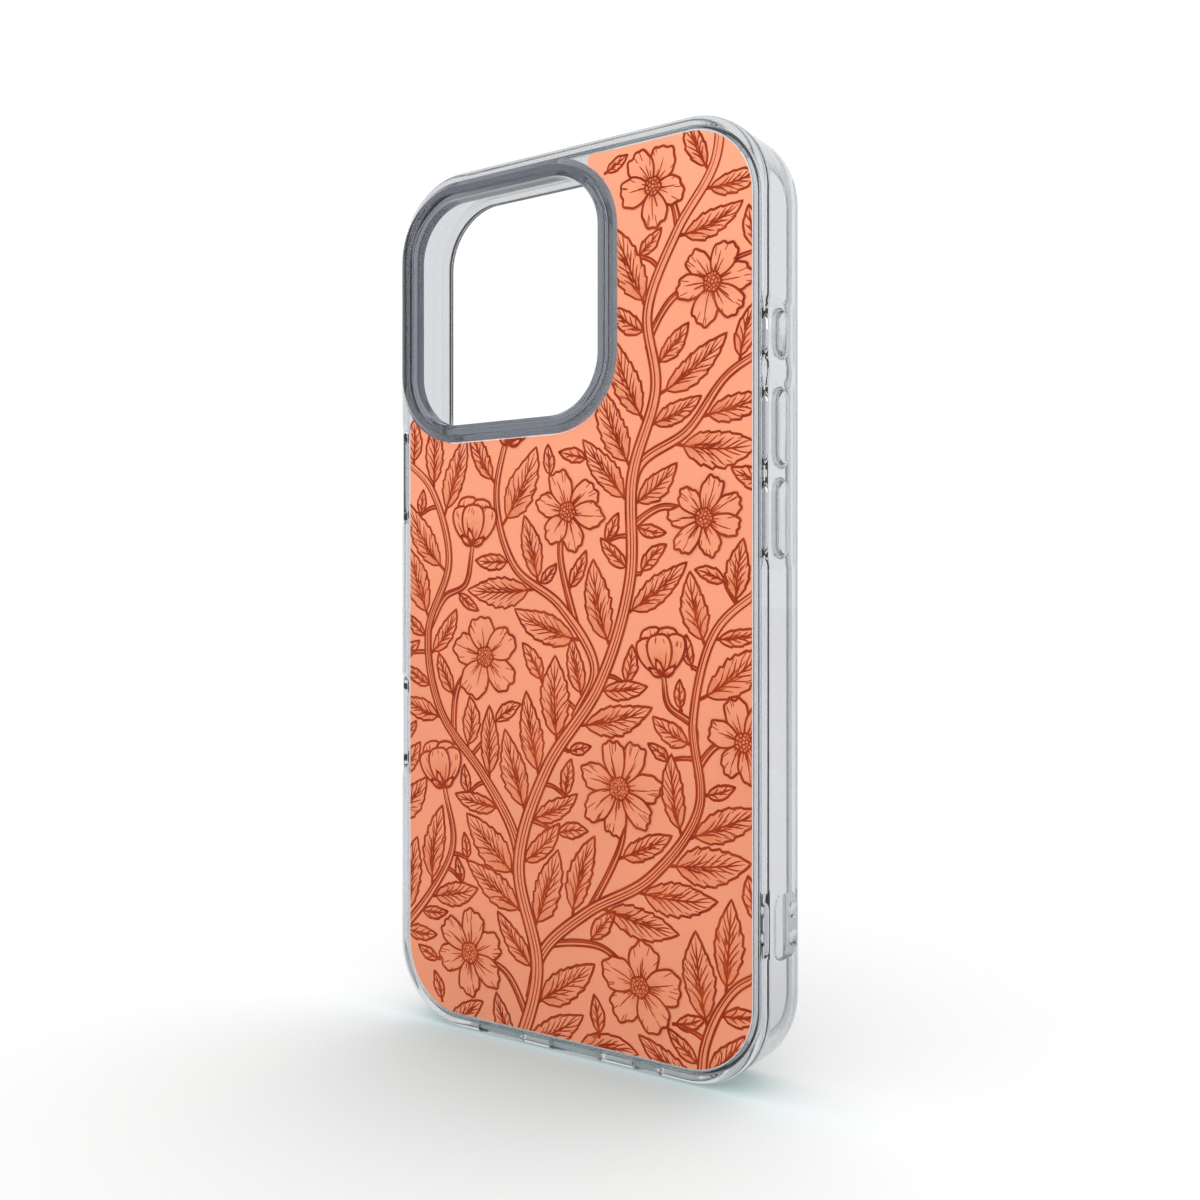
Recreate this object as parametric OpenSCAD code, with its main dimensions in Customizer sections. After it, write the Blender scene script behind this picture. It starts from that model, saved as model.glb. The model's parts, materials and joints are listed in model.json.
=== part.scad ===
// Clear protective case for a large phone, standing upright on its bottom edge.
// X runs across the case, Z up it, and Y through it from the printed back (-Y)
// to the open screen side (+Y). The origin is the middle of the base.
//
// The pieces, in order of assembly: a hard clear back plate with a camera window,
// two printed layers on its outside, a raised guard round the window, a flexible
// bumper moulded round the plate's edge, and four keys held captive in its side walls.

/* [Handset that the case is made for] */
// Width of the handset
phone_w = 71.5; // [58:0.5:90]
// Height of the handset
phone_h = 149.6; // [122:0.2:182]
// Thickness of the handset
phone_t = 8.25; // [6.8:0.05:10.5]
// Radius of the handset's corners, seen from the front
phone_r = 12; // [9:0.5:15]
// Clearance between the handset and the case on every side
phone_gap = 0.15; // [0.1:0.05:0.3]

/* [Back plate and print] */
// Thickness of the hard clear plate
plate_t = 1.5; // [1.2:0.1:2.4]
// How far the plate's tongue reaches into the bumper's groove
tongue_reach = 0.6; // [0.3:0.1:0.8]
// Thickness of the plate's tongue
tongue_t = 0.9; // [0.6:0.1:1.1]
// Thickness of each printed layer
ink_t = 0.1; // [0.08:0.01:0.16]
// Clear border of the plate between the print and the bumper's back rim
print_border = 0.2; // [0.1:0.05:0.6]
// Clear border between the print and the lens guard
guard_border = 0.1; // [0.05:0.05:0.4]
// Radius that rounds off the print where it runs out beside the guard
print_tip_r = 1; // [0.8:0.1:1.2]

/* [Bumper] */
// Thickness of the side walls
wall = 2.1; // [1.7:0.1:2.6]
// How far the back rim stands proud of the print
rim_proud = 0.25; // [0.1:0.05:0.5]
// How far the back rim covers the plate, measured in from the cavity wall
rim_cover = 0.3; // [0.2:0.05:0.8]
// Thickness of the front lip
lip_t = 1.6; // [1.3:0.05:2]
// How far the front lip reaches in over the screen
lip_over = 1.1; // [0.7:0.1:1.6]
// Rounding of the outer edges along the back and the front
edge_r = 1.4; // [0.8:0.1:1.7]
// Rounding of the lip's inner edge
lip_r = 0.7; // [0.4:0.1:0.9]

/* [Camera window and lens guard] */
// Width of the window
window_w = 41; // [32:0.5:50]
// Height of the window
window_h = 40.6; // [32:0.2:50]
// Radius of the window's corners
window_r = 10; // [6:0.5:14]
// Distance from the handset's side to the window
window_from_side = 2.2; // [1.8:0.1:5]
// Distance from the handset's top to the window
window_from_top = 2.9; // [2.5:0.1:6]
// Width of the guard's ring
guard_w = 3; // [2.4:0.1:3.6]
// Height of the guard above the bumper's back rim
guard_h = 2; // [1.2:0.1:2.6]
// Width of the guard's skirt, which lines the plate's window
skirt_w = 0.8; // [0.5:0.1:1.2]
// Width of the guard's flat crest
crest_w = 1.1; // [0.8:0.1:1.3]
// How much further the guard's outer slope falls than its inner one
slope_drop = 0.2; // [0:0.05:0.4]

/* [Keys] */
// Width of each key across the side wall
key_w = 3.8; // [3:0.1:4.6]
// Length of the action key
action_len = 6.9; // [5.5:0.1:8.5]
// Length of each volume key
volume_len = 11.6; // [9.6:0.1:12.5]
// Length of the power key
power_len = 15; // [12:0.5:18]
// Distance from the handset's top to the middle of the action key
action_from_top = 33.1; // [28:0.1:34]
// Distance from the handset's top to the middle of the volume up key
volume_up_from_top = 47.8; // [47:0.1:49]
// Gap between the two volume keys
volume_bridge = 2.6; // [2:0.1:5]
// Distance from the handset's top to the middle of the power key
power_from_top = 51.6; // [43:0.1:62]
// Gap between a key and its slot
key_gap = 0.12; // [0.08:0.01:0.2]
// How far a key's flange spreads past its stem
flange_spread = 0.6; // [0.4:0.1:0.9]
// Thickness of a key's flange
flange_t = 0.5; // [0.3:0.05:0.55]
// Gap between the flange and the web that holds it in
flange_gap = 0.1; // [0.05:0.01:0.15]
// Depth of the pocket that the flange moves in, from the cavity
pocket_deep = 1; // [0.8:0.05:1.2]
// Depth of the bay in the outer face round the keys
bay_deep = 0.3; // [0.2:0.05:0.4]
// How far a key's face sits below the wall's outer face
key_below = 0.05; // [0:0.01:0.15]
// How far a bay reaches past the keys in it
bay_margin = 0.9; // [0.5:0.1:1.5]
// Corner radius of the bays
bay_r = 1.2; // [0.6:0.1:2]
// Width of the bay's floor between a key's pocket and the bay's front edge
bay_ledge = 0.5; // [0.3:0.1:0.8]

/* [Cut-outs] */
// Length of the capture control slot in the left wall
capture_len = 14.8; // [12:0.2:18]
// Width of the capture control slot
capture_w = 5.6; // [4.6:0.1:6.8]
// Distance from the handset's top to the middle of the capture slot
capture_from_top = 97.8; // [82:0.2:104]
// Depth of the finger scoop round the capture slot
scoop_deep = 0.5; // [0.3:0.05:0.6]
// How far the finger scoop reaches past the capture slot's ends
scoop_margin = 1.5; // [1:0.1:2.5]
// Width of the charging port's cut-out
port_w = 11; // [9:0.5:13.5]
// Height of the port's cut-out through the case's thickness
port_h = 6.1; // [5:0.1:7.4]
// Corner radius of the port's cut-out
port_r = 2.4; // [1.5:0.1:2.5]
// Width of the sound slots through the case's thickness
sound_h = 3.4; // [2.8:0.1:4.2]
// Length of the speaker slot
speaker_len = 10.2; // [8:0.2:12.4]
// Distance of the speaker slot's middle from the case's middle
speaker_x = 16.4; // [14:0.1:18]
// Length of the microphone slot
mic_len = 5.6; // [4.6:0.1:6.8]
// Distance of the microphone slot's middle from the case's middle
mic_x = 14.3; // [11.8:0.1:17.2]

/* [Strap loop] */
// Radius of each strap hole
strap_r = 1.1; // [0.9:0.05:1.3]
// Distance between the two strap holes
strap_pitch = 4.4; // [3.6:0.1:5.4]
// Distance from the handset's bottom to the middle of the pair
strap_from_bottom = 23.4; // [19.5:0.1:28]
// Distance of the strap holes from the case's front face
strap_from_front = 2.6; // [2.2:0.05:3]
// Depth of the groove that joins the holes on the inside
groove_deep = 1; // [0.8:0.05:1.2]
// Length of the groove
groove_len = 10.3; // [8.6:0.1:12.4]
// Width of the groove
groove_w = 7.1; // [6:0.1:8.5]
// Distance of the groove from the case's front face
groove_from_front = 0.9; // [0.8:0.1:1.3]
// Corner radius of the groove
groove_r = 2; // [1:0.1:2.8]

/* [Hidden] */
$fn = 64;
arc_steps = 5;
past = 1;
// How far a tip's circle runs past the two edges that it joins, so that it crosses them
tip_past = 0.02;

// Cavity that the handset fills, and the case's outer size
cavity_w = phone_w + 2 * phone_gap;
cavity_h = phone_h + 2 * phone_gap;
cavity_r = phone_r + phone_gap;
case_w = cavity_w + 2 * wall;
case_h = cavity_h + 2 * wall;

// Depths from the back rim, growing towards the screen
print_at = rim_proud;
white_at = print_at + ink_t;
plate_at = white_at + ink_t;
cavity_at = plate_at + plate_t;
lip_at = cavity_at + phone_t + 2 * phone_gap;
case_t = lip_at + lip_t;
tongue_at = cavity_at - tongue_t;
middle_at = (cavity_at + lip_at) / 2;
strap_at = case_t - strap_from_front;
groove_at = case_t - groove_from_front - groove_w / 2;
back_y = (guard_h - case_t) / 2;

// Places measured from the middle of the case
phone_top = phone_h / 2;
window_x = -phone_w / 2 + window_from_side + window_w / 2;
window_y = phone_top - window_from_top - window_h / 2;
action_y = phone_top - action_from_top;
volume_up_y = phone_top - volume_up_from_top;
volume_down_y = volume_up_y - volume_len - volume_bridge;
power_y = phone_top - power_from_top;
capture_y = phone_top - capture_from_top;
strap_y = strap_from_bottom - phone_top;
half_cavity = cavity_w / 2;
half_case = case_w / 2;

// The wall at a key, from its outer face inwards
key_face = wall - key_below;
flange_top = pocket_deep - flange_gap;
flange_foot = flange_top - flange_t;
pocket_w = key_w + 2 * (flange_spread + key_gap);

// The bays' front edge, and the two volume keys taken together
bay_front = middle_at + pocket_w / 2 + bay_ledge;
volume_middle = (volume_up_y + volume_down_y) / 2;
volume_span = 2 * volume_len + volume_bridge;

// Puts work drawn flat, with the back rim at z = 0 and the back facing up, upright
module upright() {
  translate([0, back_y, case_h / 2]) rotate([90, 0, 0]) children();
}

// Points of an arc, for use in an outline
function arc(x, y, r, from, to) = [
  for (i = [0:arc_steps])
    let (a = from + (to - from) * i / arc_steps)
      [x + r * cos(a), y + r * sin(a)]
];

module rounded_rect(w, h, r) {
  square([w - 2 * r, h], center = true);
  square([w, h - 2 * r], center = true);
  for (x = [-1, 1], y = [-1, 1])
    translate([x * (w / 2 - r), y * (h / 2 - r)]) circle(r);
}

// A slot outline with round ends, len long and w wide, running along its second axis
module stadium(len, w) {
  square([w, len - w], center = true);
  for (y = [-1, 1]) translate([0, y * (len - w) / 2]) circle(w / 2);
}

// A flat slab between two depths; the outline is the handset's own, grown by grow
module slab(from, to, grow) {
  translate([0, 0, -to]) linear_extrude(to - from)
    rounded_rect(cavity_w + 2 * grow, cavity_h + 2 * grow, cavity_r + grow);
}

// The window's outline grown by grow, between two depths
module window_slab(from, to, grow) {
  translate([window_x, window_y, -to]) linear_extrude(to - from)
    rounded_rect(window_w + 2 * grow, window_h + 2 * grow, window_r + grow);
}

// Carries a section round a rounded rectangle; x = r of the section lies on the outline
module round_frame(w, h, r) {
  for (side = [0:3])
    rotate([0, 0, 90 * side]) {
      across = side % 2 == 0 ? w : h;
      along = side % 2 == 0 ? h : w;
      translate([across / 2 - r, 0, 0]) rotate([90, 0, 0])
        linear_extrude(along - 2 * r, center = true) children();
      translate([across / 2 - r, along / 2 - r, 0]) rotate_extrude(angle = 90) children();
    }
}

// A cutter or key that runs along X, from x, at a depth and a height
module from_side(x, depth, y, len) {
  translate([x, y, -depth]) rotate([0, 90, 0]) linear_extrude(len) children();
}

// A cutter that runs down through the bottom wall at x
module through_base(x, depth) {
  translate([x, -cavity_h / 2 + past, -depth]) rotate([90, 0, 0])
    linear_extrude(wall + 2 * past) children();
}

// The bumper's section: u is measured out from the cavity wall, depth from the back rim
module bumper_section() {
  translate([cavity_r, 0]) polygon(concat(
    arc(wall - edge_r, -edge_r, edge_r, 90, 0),
    arc(wall - edge_r, -case_t + edge_r, edge_r, 0, -90),
    arc(lip_r - lip_over, -case_t + lip_r, lip_r, -90, -180),
    [
      [-lip_over, -lip_at], [0, -lip_at], [0, -cavity_at], [tongue_reach, -cavity_at],
      [tongue_reach, -tongue_at], [-rim_cover, -tongue_at], [-rim_cover, -rim_proud],
      [rim_proud - rim_cover, 0]
    ]
  ));
}

// The lens guard's section: u is measured out from the window, depth from the back rim
module guard_section() {
  bevel = (guard_w - crest_w) / 2;
  translate([window_r, 0]) polygon([
    [0, -cavity_at], [0, guard_h - bevel], [bevel, guard_h],
    [bevel + crest_w, guard_h], [guard_w, guard_h - bevel - slope_drop], [guard_w, -plate_at],
    [skirt_w, -plate_at], [skirt_w, -cavity_at]
  ]);
}

// Room for one key: the slot for its stem and the pocket for its flange
module key_room(side, y, len) {
  slot_from = side > 0 ? half_cavity - past : -half_case - past;
  from_side(slot_from, middle_at, y, wall + 2 * past)
    stadium(len + 2 * key_gap, key_w + 2 * key_gap);
  pocket_from = side > 0 ? half_cavity - past : -half_cavity - pocket_deep;
  from_side(pocket_from, middle_at, y, pocket_deep + past)
    stadium(len + 2 * (flange_spread + key_gap), pocket_w);
}

// A shallow bay of length len in the outer face, open towards the back
module bay(side, y, len, deep) {
  from = side > 0 ? half_case - deep : -half_case - past;
  width = bay_front + past + bay_r;
  from_side(from, bay_front - width / 2, y, deep + past) rounded_rect(width, len, bay_r);
}

// A key: a stem that shows outside and a flange that holds it in, pressed along X
module key(side, y, len) {
  stem_from = side > 0 ? half_cavity + flange_foot : -half_cavity - key_face;
  from_side(stem_from, middle_at, y, key_face - flange_foot) stadium(len, key_w);
  flange_from = side > 0 ? half_cavity + flange_foot : -half_cavity - flange_top;
  from_side(flange_from, middle_at, y, flange_t)
    stadium(len + 2 * flange_spread, key_w + 2 * flange_spread);
}

// Hard clear plate: it shows inside the rim, and its tongue is moulded into the bumper
module back_plate() {
  color([0.86, 0.88, 0.9, 0.35]) upright() difference() {
    union() {
      slab(plate_at, cavity_at, -rim_cover);
      slab(tongue_at, cavity_at, tongue_reach);
    }
    window_slab(plate_at - past, cavity_at + past, skirt_w);
  }
}

// What is cut off a sharp tip of the print, between its edge and the guard's cut-out:
// all that lies beyond a circle that just crosses both
module beyond_tip(centre, over_edge, guard_corner) {
  difference() {
    polygon([centre, over_edge[0], over_edge[1], guard_corner]);
    translate(centre) circle(print_tip_r + tip_past);
  }
}

// The two tips: above the guard, and below it on the left
module print_tips() {
  edge_x = -half_cavity + rim_cover + print_border;
  edge_y = cavity_h / 2 - rim_cover - print_border;
  corner_x = window_w / 2 - window_r;
  corner_y = window_h / 2 - window_r;
  cut_r = window_r + guard_w + guard_border;
  top = [window_x + corner_x, window_y + corner_y];
  left = [window_x - corner_x, window_y - corner_y];
  if (top[1] + cut_r > edge_y - 2 * print_tip_r) {
    y = edge_y - print_tip_r;
    x = top[0] + sqrt(pow(cut_r + print_tip_r, 2) - pow(y - top[1], 2));
    beyond_tip([x, y], [[x, edge_y + past], [top[0], edge_y + past]], top);
  }
  if (left[0] - cut_r < edge_x + 2 * print_tip_r) {
    x = edge_x + print_tip_r;
    y = left[1] - sqrt(pow(cut_r + print_tip_r, 2) - pow(x - left[0], 2));
    beyond_tip([x, y], [[edge_x - past, y], [edge_x - past, left[1]]], left);
  }
}

// One printed layer between two depths, clear of the rim and the guard
module print_layer(from, to) {
  upright() difference() {
    slab(from, to, -rim_cover - print_border);
    window_slab(from - past, to + past, guard_w + guard_border);
    translate([0, 0, -to - past]) linear_extrude(to - from + 2 * past) print_tips();
  }
}

// White ink, which makes the colours on it opaque
module print_underbase() {
  color([0.96, 0.96, 0.94]) print_layer(white_at, plate_at);
}

// Colour ink, which carries the floral drawing
module print_colour_layer() {
  color([0.96, 0.62, 0.47]) print_layer(print_at, white_at);
}

// Raised ring round the camera window, glued to the plate, with a skirt through it
module lens_guard() {
  color([0.6, 0.62, 0.66, 0.8]) upright() translate([window_x, window_y, 0])
    round_frame(window_w, window_h, window_r) guard_section();
}

// Flexible clear frame that grips the handset
module bumper() {
  color([0.8, 0.82, 0.84, 0.45]) upright() difference() {
    round_frame(cavity_w, cavity_h, cavity_r) bumper_section();
    window_slab(-past, plate_at, guard_w);
    key_room(1, action_y, action_len);
    key_room(1, volume_up_y, volume_len);
    key_room(1, volume_down_y, volume_len);
    key_room(-1, power_y, power_len);
    bay(1, action_y, action_len + 2 * bay_margin, bay_deep);
    bay(1, volume_middle, volume_span + 2 * bay_margin, bay_deep);
    bay(-1, power_y, power_len + 2 * bay_margin, bay_deep);
    bay(-1, capture_y, capture_len + 2 * scoop_margin, scoop_deep);
    from_side(-half_case - past, middle_at, capture_y, wall + 2 * past)
      stadium(capture_len, capture_w);
    through_base(0, middle_at) rounded_rect(port_w, port_h, port_r);
    through_base(-speaker_x, middle_at) rotate([0, 0, 90]) stadium(speaker_len, sound_h);
    through_base(mic_x, middle_at) rotate([0, 0, 90]) stadium(mic_len, sound_h);
    from_side(half_cavity - past, groove_at, strap_y, groove_deep + past)
      rounded_rect(groove_w, groove_len, groove_r);
    for (y = [-1, 1])
      translate([half_cavity - past, strap_y + y * strap_pitch / 2, -strap_at])
        rotate([0, 90, 0]) cylinder(h = wall + 2 * past, r = strap_r);
  }
}

module action_button_pad() {
  color([0.72, 0.74, 0.76]) upright() key(1, action_y, action_len);
}

module volume_up_pad() {
  color([0.72, 0.74, 0.76]) upright() key(1, volume_up_y, volume_len);
}

module volume_down_pad() {
  color([0.72, 0.74, 0.76]) upright() key(1, volume_down_y, volume_len);
}

module power_button_pad() {
  color([0.72, 0.74, 0.76]) upright() key(-1, power_y, power_len);
}

back_plate();
print_underbase();
print_colour_layer();
lens_guard();
bumper();
action_button_pad();
volume_up_pad();
volume_down_pad();
power_button_pad();
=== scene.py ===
import json
import math

import bpy
import numpy as np
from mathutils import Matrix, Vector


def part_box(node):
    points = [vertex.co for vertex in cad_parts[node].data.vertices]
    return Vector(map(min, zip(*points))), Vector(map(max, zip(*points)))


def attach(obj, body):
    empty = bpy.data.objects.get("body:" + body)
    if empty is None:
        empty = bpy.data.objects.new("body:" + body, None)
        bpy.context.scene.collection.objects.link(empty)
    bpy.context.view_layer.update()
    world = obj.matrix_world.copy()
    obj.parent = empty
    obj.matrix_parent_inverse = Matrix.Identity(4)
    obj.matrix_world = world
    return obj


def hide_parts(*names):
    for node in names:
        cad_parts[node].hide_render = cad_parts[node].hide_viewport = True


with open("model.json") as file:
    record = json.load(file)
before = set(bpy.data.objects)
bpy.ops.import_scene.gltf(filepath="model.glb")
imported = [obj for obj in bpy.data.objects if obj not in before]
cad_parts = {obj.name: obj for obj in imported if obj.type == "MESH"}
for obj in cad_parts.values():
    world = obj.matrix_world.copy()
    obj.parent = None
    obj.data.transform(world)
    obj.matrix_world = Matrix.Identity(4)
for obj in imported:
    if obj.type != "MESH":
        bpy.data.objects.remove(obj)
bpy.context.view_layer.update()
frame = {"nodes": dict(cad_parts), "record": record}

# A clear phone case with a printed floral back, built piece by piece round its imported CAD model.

# --------------------------------------------------------------
# Back plate
# The case's hard shell, of clear polycarbonate: moulded flat, with a rounded-square window
# for the cameras. The bumper is moulded onto the thin tongue round its edge.
# --------------------------------------------------------------

MM = 0.001
WALL = 2.1 * MM
TONGUE_REACH = 0.6 * MM
TONGUE_THICK = 0.9 * MM
RIM_COVER = 0.3 * MM
CAVITY_RADIUS = 12.15 * MM
GUARD_WIDTH = 3.0 * MM
SKIRT_WIDTH = 0.8 * MM
WINDOW_RADIUS = 10.0 * MM
FLAT_FROM = 0.6 * MM
MOULD_GAP = 0.03 * MM
INK_BITE = 0.004 * MM
LEAST_CHORD = 0.03 * MM
SHARP_ANGLE = math.radians(32)
CAST = 0.93

bumper_low, bumper_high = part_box("bumper")
plate_low, plate_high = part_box("back_plate")
guard_low, guard_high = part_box("lens_guard")
ink_low, ink_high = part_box("print_colour_layer")
middle = np.array([(bumper_low.x + bumper_high.x) / 2, (bumper_low.z + bumper_high.z) / 2])
cavity_size = np.array([bumper_high.x - bumper_low.x, bumper_high.z - bumper_low.z]) - 2 * WALL
window_middle = np.array([(guard_low.x + guard_high.x) / 2, (guard_low.z + guard_high.z) / 2])
window_size = np.array([guard_high.x - guard_low.x, guard_high.z - guard_low.z]) - 2 * GUARD_WIDTH


def rounded_outline(centre, size, radius, step=2 * MM, arc_steps=24):
    """Points and outward normals of a rounded rectangle, counter-clockwise from the foot of its right side.
    Each side is centre + half size along its normal, swept along the side; each corner is a quarter
    circle."""
    straight = np.array(size) / 2 - radius
    points, normals = [], []
    for quarter in range(4):
        turn = math.pi / 2 * quarter
        out = np.round([math.cos(turn), math.sin(turn)])
        along = np.array([-out[1], out[0]])
        reach, half = straight @ abs(out), straight @ abs(along)
        t = np.linspace(-half, half, max(2, math.ceil(2 * half / step) + 1))[:, None]
        points.append(centre + out * (reach + radius) + along * t)
        normals.append(np.repeat(out[None], len(t), 0))
        a = (turn + np.linspace(0, math.pi / 2, arc_steps + 1)[1:-1])[:, None]
        ray = np.hstack([np.cos(a), np.sin(a)])
        points.append(centre + out * reach + along * half + ray * radius)
        normals.append(ray)
    return np.vstack(points), np.vstack(normals)


def filleted(corners, radii, spacing=0.6 * MM, arc_step=math.radians(15)):
    """A closed profile whose corners are rounded off by arcs tangent to both edges.
    Each arc's centre lies on the corner's bisector; long edges get points no further apart than spacing, and
    a tiny arc gets few points."""
    corners = np.array(corners, float)
    out = []
    for i, radius in enumerate(radii):
        here = corners[i]
        a, b = corners[i - 1] - here, corners[(i + 1) % len(corners)] - here
        a, b = a / np.linalg.norm(a), b / np.linalg.norm(b)
        half = math.acos(np.clip(a @ b, -1, 1)) / 2
        centre = here + (a + b) / np.linalg.norm(a + b) * radius / math.sin(half)
        start = here + a * radius / math.tan(half) - centre
        turn = (math.pi - 2 * half) * np.sign(a[1] * b[0] - a[0] * b[1])
        steps = max(1, math.ceil(min(abs(turn) / arc_step, abs(turn) * radius / LEAST_CHORD)))
        s = turn * np.arange(steps + 1) / steps
        out.append(centre + np.cos(s)[:, None] * start + np.sin(s)[:, None] * [-start[1], start[0]])
    loop = np.vstack(out)
    pieces = []
    for p, q in zip(loop, np.roll(loop, -1, 0)):
        n = max(1, math.ceil(np.linalg.norm(q - p) / spacing))
        pieces.append(p + (q - p) * np.arange(n)[:, None] / n)
    return np.vstack(pieces)


def carried_round(outline, normals, profile):
    """Grid of a profile (distance out, depth) carried round an outline in X and Z: each point is the
    outline's point + its normal * the distance out, at the profile's depth in Y."""
    flat = outline[:, None] + normals[:, None] * profile[None, :, :1]
    depth = np.broadcast_to(profile[None, :, 1], flat.shape[:2])
    return np.stack([flat[..., 0], depth, flat[..., 1]], -1)


def grid_faces(rows, columns, rows_closed, columns_closed):
    """Quads between neighbours of a grid, as indices into its points in reading order."""
    i = np.arange(rows if rows_closed else rows - 1)[:, None]
    j = np.arange(columns if columns_closed else columns - 1)[None]
    i2, j2 = (i + 1) % rows, (j + 1) % columns
    corners = i * columns + j, i2 * columns + j, i2 * columns + j2, i * columns + j2
    return np.stack(np.broadcast_arrays(*corners), -1).reshape(-1, 4)


def placed(name, data):
    """A new object at the origin of the scene, with this data."""
    piece = bpy.data.objects.new(name, data)
    bpy.context.scene.collection.objects.link(piece)
    return piece


def solid(name, parts):
    """A mesh from closed parts, each (points, list of face index arrays). A part whose signed volume, the sum
    over its faces' fans of corner . (next x after), is negative is turned to face outwards."""
    points, faces, base = [], [], 0
    for part_points, part_faces in parts:
        part_points = part_points.reshape(-1, 3)
        local = part_points - part_points.mean(0)
        volume = 0.0
        for group in part_faces:
            first = local[group[:, 0]]
            for k in range(1, group.shape[1] - 1):
                volume += (first * np.cross(local[group[:, k]], local[group[:, k + 1]])).sum()
        for group in part_faces:
            group = group[:, ::-1] if volume < 0 else group
            faces += (group + base).tolist()
        points.append(part_points)
        base += len(part_points)
    mesh = bpy.data.meshes.new(name)
    mesh.from_pydata(np.vstack(points).tolist(), [], faces)
    mesh.shade_smooth()
    mesh.set_sharp_from_angle(angle=SHARP_ANGLE)
    return placed(name, mesh)


def ring_part(grid):
    """A closed ring: a profile carried round a closed path joins up both ways."""
    return grid, [grid_faces(grid.shape[0], grid.shape[1], True, True)]


def node_material(name, **settings):
    """A material with its Principled shader's own sockets set; returns the material, its node tree, its
    shader and a function that adds a node to it."""
    material = bpy.data.materials.new(name)
    material.use_nodes = True
    tree = material.node_tree
    shader = tree.nodes["Principled BSDF"]
    for socket, value in settings.items():
        shader.inputs[socket.replace("_", " ")].default_value = value

    def add(kind, links=(), **values):
        """Adds a node. Links are (own input, another node's output); values are properties, or after in_ the
        name of an input."""
        node = tree.nodes.new(kind)
        for key, value in values.items():
            if key.startswith("in_"):
                node.inputs[key[3:].replace("_", " ")].default_value = value
            else:
                setattr(node, key, value)
        for own, other in links:
            tree.links.new(other, node.inputs[own])
        return node

    return material, tree, shader, add


def clear_plastic(name, tint, roughness, ripple, ripple_scale):
    """Clear moulded plastic: a faint grey tint, roughness that drifts with handling, and a moulding ripple.
    Light on its way to another surface goes straight through it, less a faint cast."""
    material, tree, shader, add = node_material(
        name, Base_Color=(*tint, 1), IOR=1.49, Transmission_Weight=1.0)
    place = add("ShaderNodeTexCoord")
    haze = add("ShaderNodeTexNoise", [("Vector", place.outputs["Object"])], in_Scale=60, in_Detail=4.0)
    rough = add("ShaderNodeMapRange", [("Value", haze.outputs["Fac"])],
                in_From_Min=0.3, in_From_Max=0.8, in_To_Min=roughness * 0.6, in_To_Max=roughness * 1.8)
    tree.links.new(rough.outputs["Result"], shader.inputs["Roughness"])
    flow = add("ShaderNodeTexNoise", [("Vector", place.outputs["Object"])],
               in_Scale=ripple_scale, in_Detail=1.0)
    bump = add("ShaderNodeBump", [("Height", flow.outputs["Fac"])], in_Strength=ripple, in_Distance=0.0004)
    tree.links.new(bump.outputs["Normal"], shader.inputs["Normal"])
    ray = add("ShaderNodeLightPath")
    passing = add("ShaderNodeMath", [(0, ray.outputs["Is Shadow Ray"]), (1, ray.outputs["Is Diffuse Ray"])],
                  operation="MAXIMUM")
    straight = add("ShaderNodeBsdfTransparent", in_Color=(CAST, CAST, CAST, 1))
    either = add("ShaderNodeMixShader",
                 [(0, passing.outputs[0]), (1, shader.outputs[0]), (2, straight.outputs[0])])
    tree.links.new(either.outputs[0], tree.nodes["Material Output"].inputs["Surface"])
    return material


def finish_piece(piece, material, body, slot, *nodes):
    """Gives a new piece its material and its body, and hides the CAD nodes that it stands for; the slot is
    not used.
    """
    piece.data.materials.append(material)
    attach(piece, body)
    if nodes:
        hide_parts(*nodes)
    return piece


# The plate's edge as a profile: in from the outer face at the rim, out along the tongue, round its end and
# back along the inner face. The white ink bites a little into the outer face, so no air is between them.
outer_y, inner_y = plate_low.y - INK_BITE, plate_high.y
step_out, step_y = -RIM_COVER - MOULD_GAP, inner_y - TONGUE_THICK + MOULD_GAP
tongue_out = TONGUE_REACH - MOULD_GAP
plate_edge = filleted(
    [(step_out, outer_y), (step_out, step_y), (tongue_out, step_y), (tongue_out, inner_y),
     (-2 * FLAT_FROM, inner_y), (-2 * FLAT_FROM, outer_y)],
    [0.08 * MM, 0.05 * MM, 0.15 * MM, 0.15 * MM, 0.01 * MM, 0.01 * MM])
plate_edge = plate_edge[plate_edge[:, 0] > -FLAT_FROM]

# The two flat faces close the ring. Each runs in from the edge to the window's outline, along rays from
# the window's middle, so that no two of its long sides cross.
outline, normals = rounded_outline(middle, cavity_size, CAVITY_RADIUS)
window_grow = SKIRT_WIDTH + MOULD_GAP
hole, _ = rounded_outline(window_middle, window_size + 2 * window_grow, WINDOW_RADIUS + window_grow,
                          step=0.25 * MM, arc_steps=80)
angle, hole_angle = (np.arctan2(*(points - window_middle).T[::-1]) for points in (outline, hole))
order = np.argsort(hole_angle)
at = [np.interp(angle, hole_angle[order], hole[order, k], period=2 * math.pi) for k in (0, 1)]
window_rings = np.stack([np.stack([at[0], np.full(len(angle), y), at[1]], -1) for y in (inner_y, outer_y)], 1)
plate_grid = np.concatenate([carried_round(outline, normals, plate_edge), window_rings], 1)
plate_clear = clear_plastic("Clear polycarbonate", (0.84, 0.86, 0.89), 0.03, 0.04, 60)
finish_piece(solid("back_plate_shell", [ring_part(plate_grid)]),
             plate_clear, "case", "clear_plate", "back_plate")

# --------------------------------------------------------------
# Bumper
# A flexible clear frame, moulded round the plate's tongue. It has a proud rim at the
# back, a raised lip at the screen, thinned bays for the keys, and open cut-outs.
# --------------------------------------------------------------

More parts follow.
